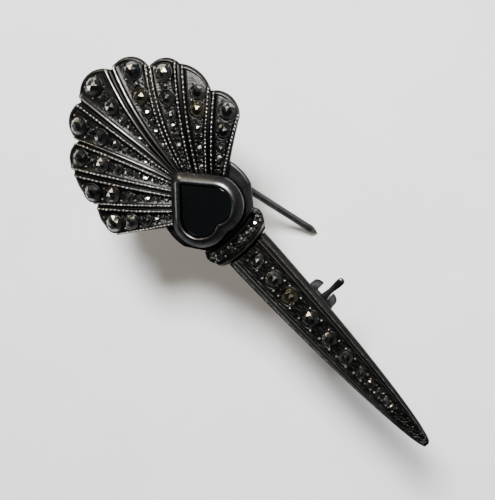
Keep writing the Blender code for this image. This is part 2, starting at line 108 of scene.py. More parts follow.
PETAL_STONE_DIAMETERS = (2.7, 2.4, 1.5)
STONE_OF_PETAL = 0.55  # a stone takes up at most this share of its petal's width
FIRST_STONE_INSET = 2.1
BLANK_PETAL = 7
BLANK_STONE = (3.0, 2.2)
SECOND_STONE_INSET = 3.1
SECOND_STONE_SHARE = 0.155
THIRD_STONE_STEP = 2.7
SMALL_STONE_STEP = 1.5  # from the third stone to the first small one
SMALL_STONE_PITCH = 1.22  # from one small stone to the next, in diameters
SMALL_STONE_GAP = 0.12  # and this much more
SMALL_STONE_RANGE = (0.34, 1.15)
STONE_SINK = 0.06
SEAT_SINK = 0.04
PRONG_SINK = 0.02

SPIKE_TOP_Y = -9.45
SPIKE_HALF_WIDTH = 3.65
SPIKE_TIP_HALF = 0.3
SPIKE_TIP_SHARE = 0.6
SPIKE_FIELD_Z = 1.2
SPIKE_STONES = ((-11.5, 2.2), (-15.2, 2.7), (-18.8, 2.7), (-23.4, 2.7), (-27.6, 2.4), (-31.3, 2.2),
                (-34.6, 1.6), (-36.8, 1.3), (-38.6, 1.1), (-40.2, 1.0), (-41.6, 0.9))
SPIKE_FIELD = 0.6  # half width of the sunk field, as a share of the spike's
SPIKE_SINK = 0.03  # of its seats and prongs
TONGUE_HALF_WIDTH = 3.25
TONGUE_HEIGHT = 0.75

COLLAR_TOP_Y = -5.6
COLLAR_BOTTOM_Y = -9.3
COLLAR_TOP_HALF = 5.2
COLLAR_BOTTOM_HALF = 4.4
COLLAR_SWELL = 0.9
COLLAR_END_DROP = 0.45
COLLAR_FIELD_Z = 1.7
COLLAR_STONES_X = (-3.9, -2.0, 0.0, 2.0, 3.9)
COLLAR_PRONG_REACH = 0.95  # from the middle of an end stone to the prongs beyond it

CATCH_RADIUS = 2.8
CATCH_END_RADIUS = 2.1
CATCH_HALF_LENGTH = 2.45
CATCH_SLOT_HALF = 1.1
CATCH_BORE = 1.55
CATCH_MOUTH = 1.5
CATCH_SLOT_Z = -0.9  # middle of the cut between the ears, from the catch's axis
CATCH_PAD_WIDTH = 3.6
CATCH_PAD_THICKNESS = 1.6
SEAT_GAP = 0.05  # between the pad and the spike's back
THROUGH = 8.0  # long enough to cut through the whole catch
ROTOR_RADIUS = 1.45
ROTOR_BORE = 0.82
ROTOR_HALF_LENGTH = 2.2
ROTOR_SLOT = 1.5
ROTOR_EDGE = 0.25  # rounding of the lock's two ends
LEVER_LENGTH = 5.6  # from the catch's axis
LEVER_WIDTH = 1.15
LEVER_THICKNESS = 0.75
LEVER_OFFSET_Y = -0.45

STEM_RADIUS = 0.62
STEM_POINT_LENGTH = 2.2
EYE_RADIUS = 1.25
EYE_WIDTH = 1.3
EYE_EDGE = 0.06
RIVET_RADIUS = 0.42
RIVET_GAP = 0.05

BRACKET_EDGE = 0.1
RIVET_EDGE = 0.06
CUT_EDGE = 0.07  # on the catch's ears and lock

# These three stones get a brighter, warmer copy of the marcasite: a painted golden glint.
PAINTED_GLINT_STONES = ("petal_6_marcasite_2", "petal_8_marcasite_2", "spike_marcasite_3")


# ---------------- node materials

def fill(node, **values):
    """Sets a node's inputs, each by its name with _ for a space."""
    for key, value in values.items():
        node.inputs[key.replace("_", " ")].default_value = value


class Nodes:
    """A short way to write a material's node tree."""

    def __init__(self, name):
        self.material = bpy.data.materials.new(name)
        self.material.use_nodes = True
        self.tree = self.material.node_tree
        self.shader = self.tree.nodes["Principled BSDF"]

    def add(self, kind, **settings):
        node = self.tree.nodes.new("ShaderNode" + kind)
        for key, value in settings.items():
            setattr(node, key, value)
        return node

    def link(self, source, target):
        self.tree.links.new(source, target)

    def feed(self, key, source):
        """Links a value to the shader."""
        self.link(source, self.shader.inputs[key])

    def coordinates(self):
        return self.add("TexCoord").outputs["Object"]

    def noise(self, scale, detail=4.0, roughness=0.6, vector=None):
        node = self.add("TexNoise")
        fill(node, Scale=scale, Detail=detail, Roughness=roughness)
        self.link(vector or self.coordinates(), node.inputs["Vector"])
        return node.outputs["Fac"]

    def ramp(self, value, *stops):
        """A blend between two colours, each given with its place."""
        node = self.add("ValToRGB")
        for element, (place, colour) in zip(node.color_ramp.elements, stops):
            element.position = place
            element.color = (*colour, 1.0)
        self.link(value, node.inputs["Fac"])
        return node.outputs["Color"]

    def scalar(self, value, low, high, out_low, out_high):
        node = self.add("MapRange")
        fill(node, From_Min=low, From_Max=high, To_Min=out_low, To_Max=out_high)
        self.link(value, node.inputs["Value"])
        return node.outputs["Result"]

    def math(self, operation, first, second):
        node = self.add("Math", operation=operation)
        self.link(first, node.inputs[0])
        self.link(second, node.inputs[1])
        return node.outputs["Value"]

    def mix(self, factor, first, second):
        node = self.add("Mix", data_type="RGBA")
        self.link(factor, node.inputs["Factor"])
        for key, value in (("A", first), ("B", second)):
            socket = [s for s in node.inputs if s.name == key and s.type == "RGBA"][0]
            if isinstance(value, tuple):
                socket.default_value = (*value, 1.0)
            else:
                self.link(value, socket)
        return [s for s in node.outputs if s.type == "RGBA"][0]

    def bump(self, height, strength, distance):
        node = self.add("Bump")
        fill(node, Strength=strength, Distance=distance)
        self.link(height, node.inputs["Height"])
        self.feed("Normal", node.outputs["Normal"])


TARNISH_EDGE = (0.35, 0.35, 0.35, 1.0)  # a tarnished face stays dark when it is seen edge-on


def worn_silver(name, dark, bright, rough_dark, rough_bright, warmth):
    """Cast silver: black oxide where the wear attribute is 0, rubbed metal where it is 1."""
    n = Nodes(name)
    fill(n.shader, Metallic=1.0, Specular_Tint=TARNISH_EDGE)
    grain = n.noise(900.0, 6.0, 0.65)
    blotch = n.noise(170.0, 3.0, 0.5)
    wear = n.add("Attribute", attribute_name="wear").outputs["Fac"]
    uneven = n.math("ADD", n.scalar(grain, 0.25, 0.75, 0.45, 1.4), n.scalar(blotch, 0.3, 0.7, -0.25, 0.25))
    amount = n.scalar(n.math("MULTIPLY", wear, uneven), 0.0, 0.9, 0.0, 1.0)
    tarnish = n.scalar(n.noise(60.0, 2.0), 0.45, 0.75, 0.0, warmth)
    metal = n.mix(tarnish, bright, tuple(c * f for c, f in zip(bright, (1.0, 0.86, 0.62))))
    n.feed("Base Color", n.mix(amount, dark, metal))
    n.feed("Roughness", n.scalar(amount, 0.0, 1.0, rough_dark, rough_bright))
    n.bump(n.noise(2600.0, 4.0), 0.35, 0.00003)
    return n.material


def smooth_silver(name, colour, low, high):
    """Smooth darkened silver with finger marks and fine scratches."""
    n = Nodes(name)
    fill(n.shader, Metallic=1.0, Specular_Tint=TARNISH_EDGE)
    shadow = [c * 0.55 for c in colour]
    n.feed("Base Color", n.ramp(n.noise(220.0, 5.0, 0.6), (0.3, shadow), (0.7, colour)))
    n.feed("Roughness", n.scalar(n.noise(500.0, 6.0), 0.3, 0.7, low, high))
    stretch = n.add("Mapping")
    fill(stretch, Scale=(1.0, 9.0, 1.0), Rotation=(0.0, 0.0, 0.6))
    n.link(n.coordinates(), stretch.inputs["Vector"])
    n.bump(n.noise(1500.0, 3.0, 0.5, stretch.outputs["Vector"]), 0.12, 0.00002)
    return n.material


def marcasite_material(name, cool, warm):
    """Faceted pyrite: a dark metallic lustre that changes a little from stone to stone."""
    n = Nodes(name)
    fill(n.shader, Metallic=1.0)
    n.feed("Base Color", n.ramp(n.noise(260.0, 1.0), (0.35, cool), (0.68, warm)))
    n.feed("Roughness", n.scalar(n.noise(1200.0, 4.0), 0.3, 0.7, 0.06, 0.2))
    n.bump(n.noise(3000.0, 2.0), 0.08, 0.00001)
    return n.material


def onyx_material():
    """Polished black stone with faint hairlines."""
    n = Nodes("onyx")
    fill(n.shader, Coat_Weight=1.0, Coat_Roughness=0.05)
    cloud = n.noise(140.0, 4.0)
    n.feed("Base Color", n.ramp(cloud, (0.3, (0.0012, 0.0015, 0.0016)), (0.7, (0.0022, 0.0028, 0.003))))
    n.feed("Roughness", n.scalar(n.noise(700.0, 6.0), 0.35, 0.7, 0.06, 0.16))
    n.bump(n.noise(1800.0, 2.0), 0.03, 0.00001)
    return n.material


def floor_material():
    """Plain pale sheet, seen from its upper side only."""
    n = Nodes("pale_floor")
    fill(n.shader, Roughness=0.75)
    shade = n.noise(60.0, 3.0)
    n.feed("Base Color", n.ramp(shade, (0.3, (0.77, 0.775, 0.78)), (0.7, (0.83, 0.835, 0.84))))
    clear = n.add("BsdfTransparent")
    side = n.add("MixShader")
    n.link(n.add("NewGeometry").outputs["Backfacing"], side.inputs[0])
    n.link(n.shader.outputs[0], side.inputs[1])
    n.link(clear.outputs[0], side.inputs[2])
    n.link(side.outputs[0], n.tree.nodes["Material Output"].inputs["Surface"])
    return n.material


# ---------------- mesh helpers

def placed(name, data):
    """A new object in the scene."""
    obj = bpy.data.objects.new(name, data)
    bpy.context.scene.collection.objects.link(obj)
    return obj


def mesh_object(name, points, faces, material, wear=None, smooth=True):
    """A mesh from points in millimetres, with an optional wear value for each."""
    mesh = bpy.data.meshes.new(name)
    mesh.from_pydata((np.asarray(points, float) * MM).tolist(), [], faces)
    mesh.validate()
    if wear is not None:
        layer = mesh.attributes.new("wear", "FLOAT", "POINT")
        layer.data.foreach_set("value", np.asarray(wear, np.float32))
    if smooth:
        mesh.shade_smooth()
    mesh.materials.append(material)
    return placed(name, mesh)


def sharpen(obj, degrees):
    obj.data.set_sharp_from_angle(angle=math.radians(degrees))


def outward(obj):
    """Turns every face of a closed mesh outwards."""
    bm = bmesh.new()
    bm.from_mesh(obj.data)
    bmesh.ops.recalc_face_normals(bm, faces=bm.faces)
    bm.to_mesh(obj.data)
    bm.free()


def grid_faces(rows, columns, start=0, flip=False):
    faces = []
    for r in range(rows - 1):
        for c in range(columns - 1):
            a = start + r * columns + c
            face = (a, a + 1, a + columns + 1, a + columns)
            faces.append(face[::-1] if flip else face)
    return faces


def border(rows, columns):
    """The grid's outer points in order round it."""
    grid = np.arange(rows * columns).reshape(rows, columns)
    return np.concatenate([grid[0], grid[1:-1, -1], grid[-1, ::-1], grid[-2:0:-1, 0]]).tolist()


def tube_faces(rings, sides, closed=False):
    """Faces from each ring of points to the next, and from the last to the first where it is closed."""
    faces = []
    for r in range(rings if closed else rings - 1):
        after = (r + 1) % rings
        for i in range(sides):
            j = (i + 1) % sides
            faces.append((r * sides + i, r * sides + j, after * sides + j, after * sides + i))
    return faces


def cast_plate(name, front, back, wear):
    """A closed plate of cast silver between two grids of points of the same size."""
    rows, columns = front.shape[:2]
    count = rows * columns
    faces = grid_faces(rows, columns) + grid_faces(rows, columns, count, flip=True)
    edge = border(rows, columns)
    for a, b in zip(edge, edge[1:] + edge[:1]):
        faces.append((b, a, a + count, b + count))
    points = np.concatenate([front.reshape(-1, 3), back.reshape(-1, 3)])
    values = np.concatenate([wear.ravel(), np.full(count, 0.25)])
    obj = mesh_object(name, points, faces, SILVER, values)
    outward(obj)
    return obj


def relief_plate(name, x, y, top, bottom, wear):
    """A cast plate over a grid of plan points, from its back's height up to its front's."""
    front, back = (np.stack(np.broadcast_arrays(x, y, z), -1) for z in (top, bottom))
    return cast_plate(name, front, back, wear)


def ring_object(name, rings, material, wear=None):
    """A body through rings of points, closed by a face at each end."""
    rings = np.asarray(rings, float)
    count, sides = rings.shape[:2]
    faces = tube_faces(count, sides)
    faces.append(tuple(range(sides))[::-1])
    faces.append(tuple((count - 1) * sides + i for i in range(sides)))
    values = None if wear is None else np.repeat(np.asarray(wear, float), sides)
    obj = mesh_object(name, rings.reshape(-1, 3), faces, material, values)
    outward(obj)
    return obj


def arc(centre, radius, angles):
    """Plan points on a circle."""
    return centre + radius * np.stack([np.cos(angles), np.sin(angles)], -1)


def full_turn(steps):
    return np.linspace(0, 2 * math.pi, steps, endpoint=False)


def at_height(plan, height):
    return np.concatenate([plan, np.full((len(plan), 1), height)], axis=1)


def smooth_step(value, low, high):
    t = np.clip((value - low) / (high - low), 0, 1)
    return t * t * (3 - 2 * t)


def bump(distance, half_width):
    """A round-topped ridge, 1 in the middle and 0 beyond its half width."""
    return np.cos(np.clip(distance / half_width, -1, 1) * math.pi / 2) ** 1.4


def hand_cut(x, y, pitch=0.85):
    """The uneven ground that a graver leaves between the stones, from -1 to 1."""
    u, v = 2 * math.pi * x / pitch, 2 * math.pi * y / pitch
    return np.sin(u + 1.7 * np.sin(0.63 * v)) * np.sin(v + 1.4 * np.sin(0.57 * u + 1.0))


# ---------------- beads and stones, many in one mesh

def circle(radius, height, sides):
    turns = [2 * math.pi * i / sides for i in range(sides)]
    return [(radius * math.cos(t), radius * math.sin(t), height) for t in turns]


def unit_ball(rings=5, sides=8):
    """The upper part of a ball, down to a little below its middle, closed underneath."""
    points = [(0.0, 0.0, 1.0)]
    for r in range(1, rings):
        polar = 0.62 * math.pi * r / (rings - 1)
        points += circle(math.sin(polar), math.cos(polar), sides)
    faces = [(0, 1 + i, 1 + (i + 1) % sides) for i in range(sides)]
    for r in range(rings - 2):
        for i in range(sides):
            a = 1 + r * sides + i
            b = 1 + r * sides + (i + 1) % sides
            faces.append((a, a + sides, b + sides, b))
    faces.append(tuple(1 + (rings - 2) * sides + i for i in range(sides))[::-1])
    return np.array(points), faces


def rose_cut(sides=8):
    """A rose-cut stone of diameter 1 on its flat base."""
    half = sides // 2
    points = []
    for radius, height, count in ((0.5, 0.0, sides), (0.5, 0.07, sides), (0.31, 0.25, half), (0.0, 0.34, 1)):
        points += circle(radius, height, count)
    faces = [tuple(range(sides))[::-1]]
    for i in range(sides):
        j = (i + 1) % sides
        faces.append((i, j, sides + j, sides + i))
    table = 2 * sides
    for k in range(half):
        after = (k + 1) % half
        before_girdle = sides + (2 * k - 1) % sides
        girdle = sides + 2 * k
        next_girdle = sides + (2 * k + 1) % sides
        faces.append((before_girdle, girdle, table + k))
        faces.append((girdle, next_girdle, table + k))
        faces.append((next_girdle, table + after, table + k))
        faces.append((table + k, table + after, table + half))
    return np.array(points), faces


def seat_ring(sides=40):
    """A low rounded lip round a stone of diameter 1, with its base flat."""
    profile = [(0.515, 0.0), *arc((0.555, 0.06), 0.04, np.linspace(math.pi, 0, 7)), (0.6, 0.0)]
    points = [point for radius, z in profile for point in circle(radius, z, sides)]
    faces = [face[::-1] for face in tube_faces(len(profile), sides, closed=True)]
    return np.array(points), faces


def upright(x, y, z, sizes):
    """A place for scattered(), squared up to the frame."""
    return np.array((x, y, z)), np.eye(3), sizes, 0.0


def scattered(name, shape, places, material, wear=None, smooth=True):
    """Copies of a shape in one mesh. A place is (centre, axes as rows, sizes along them, turn)."""
    points, faces = shape
    all_points, all_faces, values = [], [], []
    for number, (centre, axes, sizes, turn) in enumerate(places):
        c, s = math.cos(turn), math.sin(turn)
        spun = points @ np.array(((c, s, 0), (-s, c, 0), (0, 0, 1)))
        all_points.append(spun * np.asarray(sizes) @ axes + centre)
        all_faces += [tuple(i + number * len(points) for i in face) for face in faces]
        if wear is not None:
            values.append(np.interp(points[:, 2], (-0.2, 0.75), wear))
    values = None if wear is None else np.concatenate(values)
    return mesh_object(name, np.concatenate(all_points), all_faces, material, values, smooth)


# ---------------- the fan

def groove_end(ends, index):
    half = len(ends)
    if index < half:
        x, y = ends[half - 1 - index]
        return np.array((-x, y))
    return np.array(ends[index - half])


def groove_bow(index):
    """The sideways bend of a groove at its middle."""
    half = len(GROOVE_BOWS)
    bow = GROOVE_BOWS[index - half] if index >= half else -GROOVE_BOWS[half - 1 - index]
    line = groove_end(GROOVE_NOTCHES, index) - groove_end(GROOVE_ROOTS, index)
    return bow * np.array((-line[1], line[0])) / np.linalg.norm(line)


def petal_edge(petal, across):
    """Points on the petal's round tip, for an array of places across it."""
    start = groove_end(GROOVE_NOTCHES, petal)
    end = groove_end(GROOVE_NOTCHES, petal + 1)
    bulge = LOBE_BULGES[abs(petal - MIDDLE_PETAL)]
    half_chord = np.linalg.norm(end - start) / 2
    radius = (half_chord**2 + bulge**2) / (2 * bulge)
    spread = math.asin(half_chord / radius)
    along = (end - start) / (2 * half_chord)
    out = np.array((-along[1], along[0]))
    centre = (start + end) / 2 + out * (bulge - radius)
    angle = spread * (2 * np.asarray(across)[..., None] - 1)
    return centre + radius * (along * np.sin(angle) + out * np.cos(angle))


def fan_floor(petal, across, share, lift=FAN_THICKNESS):
    """Points on the channel floors' smooth dome, from the petal's root (share 0) to its tip (1)."""
    across = np.asarray(across, float)
    share = np.asarray(share, float)
    first = groove_end(GROOVE_ROOTS, petal)
    second = groove_end(GROOVE_ROOTS, petal + 1)
    root = first + (second - first) * across[..., None]
    first_bow, second_bow = groove_bow(petal), groove_bow(petal + 1)
    bend = (first_bow + (second_bow - first_bow) * across[..., None]) * (4 * share * (1 - share))[..., None]
    plan = root + (petal_edge(petal, across) - root) * share[..., None] + bend
    sideways = (petal + across) * 2 / PETALS - 1
    dome = FAN_DOME * 4 * share * (1 - share) * (1 - FAN_SIDE_DROP * sideways**2)
    return np.concatenate([plan, (FAN_ROOT_Z + dome + lift)[..., None]], axis=-1)


def petal_width(petal, share):
    share = np.asarray(share, float)
    sides = [fan_floor(petal, np.full_like(share, across), share)[..., :2] for across in (0.0, 1.0)]
    return np.linalg.norm(sides[1] - sides[0], axis=-1)


def petal_length(petal):
    return float(np.linalg.norm((fan_floor(petal, 0.5, 1.0) - fan_floor(petal, 0.5, 0.0))[:2]))


def rail_place(width):
    """How far a rail's crest stands in from its groove."""
    return np.minimum(0.3 + 0.055 * width, 0.22 * width)


def rail_half_width(width):
    return np.clip(0.62 * rail_place(width), 0.08, 0.32)


def rail_height(width):
    return RAIL_HEIGHT * np.clip(width / 4.0, 0.35, 1.0)


def fan_relief(petal, across, share):
    """Height above the channel floor, and wear, from the rails, grooves and tip rim."""
    width = petal_width(petal, share)
    side = np.minimum(across, 1 - across) * width
    rail, rail_half = rail_place(width), rail_half_width(width)
    ridge = bump(side - rail, rail_half)
    shoulder = bump(side - rail, rail_half * 2.2)
    groove = 1 - smooth_step(side, rail * 0.3, rail * 0.9)
    inset = (1 - share) * petal_length(petal)
    rim = bump(inset - 0.34, 0.26)
    roll_off = 1 - smooth_step(inset, 0.0, 0.16)
    channel = smooth_step(side, rail + rail_half * 0.4, rail + rail_half + 0.5)
    height = rail_height(width) * (0.72 * ridge + 0.28 * shoulder) - GROOVE_DEPTH * groove * (1 - ridge)
    height = np.maximum(height, TIP_RIM * rim * (1 - groove)) - 0.16 * roll_off - 0.1 * channel * (1 - rim)
    polish = np.where(across < 0.5, (petal, 0) in SMOOTH_RAILS, (petal, 1) in SMOOTH_RAILS)
    wear = 0.04 * channel + (0.22 + 0.6 * polish) * ridge**4 + 0.2 * rim**2 * (1 - groove)
    ground = fan_floor(petal, across, share)
    chips = hand_cut(ground[..., 0], ground[..., 1]) * channel * (0.25 + 0.75 * smooth_step(inset, 2.0, 5.0))
    return height + 0.045 * chips, np.clip(wear + 0.12 * np.clip(chips, 0, 1) ** 2, 0, 1)


def make_fan():
    columns, rows = 50, 150
    even = np.linspace(0, 1, columns)
    across = 0.5 * even + 0.5 * (1 - np.cos(even * math.pi)) / 2
    share = np.linspace(0, 1, rows)
    share = share * 0.75 + 0.25 * np.sin(share * math.pi / 2)
    fronts, backs, wears = [], [], []
    for petal in range(PETALS):
        keep = slice(0, None if petal == PETALS - 1 else -1)
        a, s = np.meshgrid(across[keep], share)
        start = first_share(petal, across[keep])
        s = start + (1 - start) * s
        front = fan_floor(petal, a, s)
        height, wear = fan_relief(petal, a, s)
        front[..., 2] += height
        fronts.append(front)
        backs.append(fan_floor(petal, a, s, lift=0.0))
        wears.append(wear)
    front, back, wear = (np.concatenate(parts, axis=1) for parts in (fronts, backs, wears))
    fan = cast_plate("shell_fan_cast", front, back, wear)
    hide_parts("shell_fan")
    return fan


def inside_heart(plan, offset):
    """Which plan points lie inside the heart's outline."""
    ring = heart_outline(offset, 0.0)[:, :2]
    after = np.roll(ring, -1, axis=0)
    x, y = plan[..., 0, None], plan[..., 1, None]
    spans = (ring[:, 1] > y) != (after[:, 1] > y)
    rise = np.where(spans, after[:, 1] - ring[:, 1], 1.0)
    crossing = ring[:, 0] + (y - ring[:, 1]) * (after[:, 0] - ring[:, 0]) / rise
    return (spans & (x < crossing)).sum(axis=-1) % 2 == 1


def first_share(petal, across):
    """Where the petal comes out from under the bezel."""
    low, high = np.zeros_like(across), np.full_like(across, 0.5)
    for _ in range(14):
        middle = (low + high) / 2
        hidden = inside_heart(fan_floor(petal, across, middle)[..., :2], BEZEL_WIDTH - 0.12)
        low, high = np.where(hidden, middle, low), np.where(hidden, high, middle)
    return low


def surface_frame(petal, across, share):
    """A place on the channel floor and its axes, as rows: along the petal, across it and outwards."""
    step = 0.01
    along = fan_floor(petal, across, share + step) - fan_floor(petal, across, share - step)
    side = fan_floor(petal, across + step, share) - fan_floor(petal, across - step, share)
    normal = np.cross(side, along)
    normal = normal / np.linalg.norm(normal)
    along = along - normal * (along @ normal)
    along = along / np.linalg.norm(along)
    return fan_floor(petal, across, share), np.array((along, np.cross(normal, along), normal))


def wobble(number):
    """The small unevenness of hand work, about 1."""
    return 1 + 0.12 * math.sin(2.4 * number)


def large_stones(petal):
    length = petal_length(petal)
    second = SECOND_STONE_INSET + SECOND_STONE_SHARE * length
    insets = (FIRST_STONE_INSET, second, second + THIRD_STONE_STEP)
    stones = [(inset, min(diameter, STONE_OF_PETAL * float(petal_width(petal, 1 - inset / length))))
              for inset, diameter in zip(insets, PETAL_STONE_DIAMETERS)]
    if petal == BLANK_PETAL:
        stones[0] = BLANK_STONE
    return stones


def field_width(petal, share):
    """Room between the petal's two rails."""
    width = float(petal_width(petal, share))
    return width - 2 * float(rail_place(width) + rail_half_width(width))


def small_stones(petal):
    """From the third stone to the heart, as far as the channel has room."""
    length = petal_length(petal)
    least, most = SMALL_STONE_RANGE
    inset = large_stones(petal)[-1][0] + SMALL_STONE_STEP
    stones = []
    while inset < length - 1.2:
        diameter = min(most, 0.72 * field_width(petal, 1 - inset / length))
        if diameter < least:
            break
        stones.append((inset, diameter))
        inset += SMALL_STONE_PITCH * diameter + SMALL_STONE_GAP
    return stones


def filler_stones(large):
    """A small stone in each wide space between two large ones."""
    stones = []
    for (outer, outer_diameter), (inner, inner_diameter) in zip(large, large[1:]):
        gap = inner - outer - (outer_diameter + inner_diameter) / 2
        if gap > 0.9:
            stones.append(((outer + inner + (outer_diameter - inner_diameter) / 2) / 2, min(0.8 * gap, 1.3)))
    return stones


def make_rail_beads():
    """Milgrain along the crest of every beaded rail."""
    places = []
    for petal in range(PETALS):
        length = petal_length(petal)
        for side in (0, 1):
            if (petal, side) in SMOOTH_RAILS:
                continue
            inset = 0.5
            while inset < length * 0.93:
                share = 1 - inset / length
                width = float(petal_width(petal, share))
                size = float(np.clip(0.75 * rail_half_width(width), 0.07, 0.19)) * wobble(len(places))
                across = float(rail_place(width)) / width
                centre, axes = surface_frame(petal, across if side == 0 else 1 - across, share)
                centre = centre + axes[2] * (float(rail_height(width)) - 0.45 * size)
                places.append((centre, axes, (1.6 * size, 0.95 * size, size), 0.0))
                inset += 3.5 * size
    return scattered("fan_milgrain", unit_ball(), places, SILVER_BEAD, (0.05, 0.6))


def make_petal_stones():
    """The small marcasites, the seats of the three large ones and all the bead prongs."""
    stones, seats, prongs = [], [], []
    for petal in range(PETALS):
        length = petal_length(petal)
        large = large_stones(petal)
        for number, (inset, diameter) in enumerate(large + small_stones(petal) + filler_stones(large)):
            share = 1 - inset / length
            centre, axes = surface_frame(petal, 0.5, share)
            if number < len(large):
                seats.append((centre - axes[2] * SEAT_SINK, axes, (diameter,) * 3, 0.0))
            else:
                stones.append((centre - axes[2] * STONE_SINK, axes, (diameter,) * 3, 0.7 * number + petal))
            size = (0.07 + 0.055 * diameter) * wobble(number + petal)
            reach = 0.5 * diameter + 0.35 * size
            room = field_width(petal, share) / 2 - 0.3 * size
            for turn in (45, 135, 225, 315):
                along = 1.06 * reach * math.cos(math.radians(turn))
                side = reach * math.sin(math.radians(turn))
                side = math.copysign(min(abs(side), room), side)
                spot = share + along / length
                place, here = surface_frame(petal, 0.5 + side / float(petal_width(petal, spot)), spot)
                prongs.append((place - here[2] * PRONG_SINK, here, (size, size, 1.7 * size), 0.0))
    gems = scattered("petal_small_marcasites", rose_cut(), stones, MARCASITE, smooth=False)
    rings = scattered("petal_stone_seats", seat_ring(), seats, SILVER, (0.02, 0.14))
    grips = scattered("petal_bead_prongs", unit_ball(), prongs, SILVER_BEAD, (0.05, 0.5))
    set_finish(gems, "marcasite")
    return [gems, rings, grips]


# ---------------- heart: plate, bezel and onyx

def heart_outline(offset, height):
    """The onyx heart's outline moved outwards by the offset, with a rounded point."""
    lobe_radius = ONYX_LOBE_RADIUS + offset
    to_lobe = LOBE - np.array((0.0, HEART_POINT_Y))
    lean = math.asin(ONYX_LOBE_RADIUS / np.linalg.norm(to_lobe))
    normal = math.atan2(to_lobe[1], to_lobe[0]) + lean + math.pi / 2
    sharp_y = HEART_POINT_Y + offset / math.sin(normal)
    tip_radius = HEART_POINT_RADIUS + 0.85 * max(offset, -0.3)
    tip = np.array((0.0, sharp_y - tip_radius / math.sin(normal)))
    cleft = math.acos(min(LOBE[0] / lobe_radius, 1.0)) - math.pi
    tip_steps, side_steps, lobe_steps = 7, 10, 31
    tip_arc = arc(tip, tip_radius, np.linspace(math.pi / 2, normal, tip_steps))
    lobe_arc = arc(LOBE, lobe_radius, np.linspace(normal, cleft, lobe_steps))
    side = tip_arc[-1] + (lobe_arc[0] - tip_arc[-1]) * np.linspace(0, 1, side_steps + 2)[1:-1, None]
    half = np.concatenate([tip_arc, side, lobe_arc])
    half[0, 0] = half[-1, 0] = 0.0
    left = half[-2:0:-1] * np.array((-1.0, 1.0))
    return at_height(np.concatenate([half, left]), height)


def plate_outline(inset, height):
    """The plate's outline, drawn in towards its middle by the inset."""
    edge = arc(0.0, PLATE_RADIUS, np.linspace(PLATE_SHOULDER, math.pi - PLATE_SHOULDER, 121))
    waist, foot = np.array(PLATE_WAIST), np.array(PLATE_FOOT)
    mirror = np.array((-1.0, 1.0))
    corners = np.array((edge[-1], waist * mirror, foot * mirror, foot, waist, edge[0]))
    sides = [a + (b - a) * t for a, b in zip(corners, corners[1:]) for t in (0.2, 0.4, 0.6, 0.8, 1.0)][:-1]
    return at_height(np.concatenate([edge, sides]) * (1 - inset / PLATE_RADIUS), height)


def make_plate():
    edge = 0.22
    profile = [(PLATE_RADIUS - 0.02, 0.0), (edge, 0.0)]
    for angle in np.linspace(-math.pi / 2, math.pi / 2, 7):
        profile.append((edge - edge * math.cos(angle), PLATE_TOP / 2 * (1 + math.sin(angle))))
    profile += [(0.6, PLATE_TOP), (PLATE_RADIUS - 0.02, PLATE_TOP)]
    plate = ring_object("heart_plate_disc", [plate_outline(inset, z) for inset, z in profile], SMOOTH_DARK)
    sharpen(plate, 50)
    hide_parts("heart_plate")
    return plate


def make_bezel():
    low, top = BEZEL_LOW[2], BEZEL_HIGH[2]
    lip = ONYX_HIGH[2]
    edge, shoulder = BEZEL_WIDTH - 0.09, BEZEL_SHOULDER - 0.02
    profile = [(BEZEL_WIDTH - 0.12, low), (BEZEL_WIDTH - 0.05, low + 0.6), (BEZEL_WIDTH, BEZEL_SHOULDER - 0.2),
               (BEZEL_WIDTH - 0.02, BEZEL_SHOULDER - 0.1), (edge, shoulder)]
    for t in np.linspace(1 / 8, 1, 8):
        height = shoulder + (top - shoulder) * math.sin(math.pi / 2 * t)
        profile.append((edge - (BEZEL_WIDTH - 0.34) * t, height))
    profile += [(0.14, top - 0.03), (0.04, top - 0.13), (-0.03, top - 0.3), (-0.07, lip + 0.1),
                (-0.09, lip - 0.1), (-0.09, ONYX_LOW[2])]
    wear = [0.05, 0.05, 0.35, 0.6, 0.4] + [0.3] * 8 + [0.25, 0.15, 0.08, 0.03, 0.0, 0.0]
    bezel = ring_object("heart_bezel_cup", [heart_outline(o, z) for o, z in profile], BEZEL_SILVER, wear)
    sharpen(bezel, 60)
    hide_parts("heart_bezel")
    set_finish(bezel, "polished_silver")
    return bezel


def make_onyx():
    top = ONYX_HIGH[2]
    profile = [(-0.12, ONYX_LOW[2]), (-0.12, top - 0.14), (-0.16, top - 0.07), (-0.26, top - 0.04),
               (-0.45, top - 0.03)]
    rings = [heart_outline(o, z) for o, z in profile]
    middle = np.array((0.0, -0.2, 0.0))
    for share in (0.75, 0.5, 0.25, 0.02):
        ring = (rings[len(profile) - 1] - middle) * np.array((share, share, 1.0)) + middle
        ring[:, 2] = top - 0.03 * share
        rings.append(ring)
    onyx = ring_object("heart_onyx_stone", rings, ONYX)
    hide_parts("heart_onyx")
    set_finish(onyx, "onyx")
    return onyx


# ---------------- collar

def collar_foot(x):
    """The collar's lower edge, which curls up at its ends."""
    return COLLAR_BOTTOM_Y + 0.9 * np.abs(x / 5.0) ** 2.4


def collar_place(across, down):
    half = COLLAR_TOP_HALF + (COLLAR_BOTTOM_HALF - COLLAR_TOP_HALF) * down
    half = half + COLLAR_SWELL * np.sin(math.pi * down)
    x = across * half
    top = COLLAR_TOP_Y + 0.7 * (x / 5.5) ** 2
    return x, top + (collar_foot(x) - top) * down


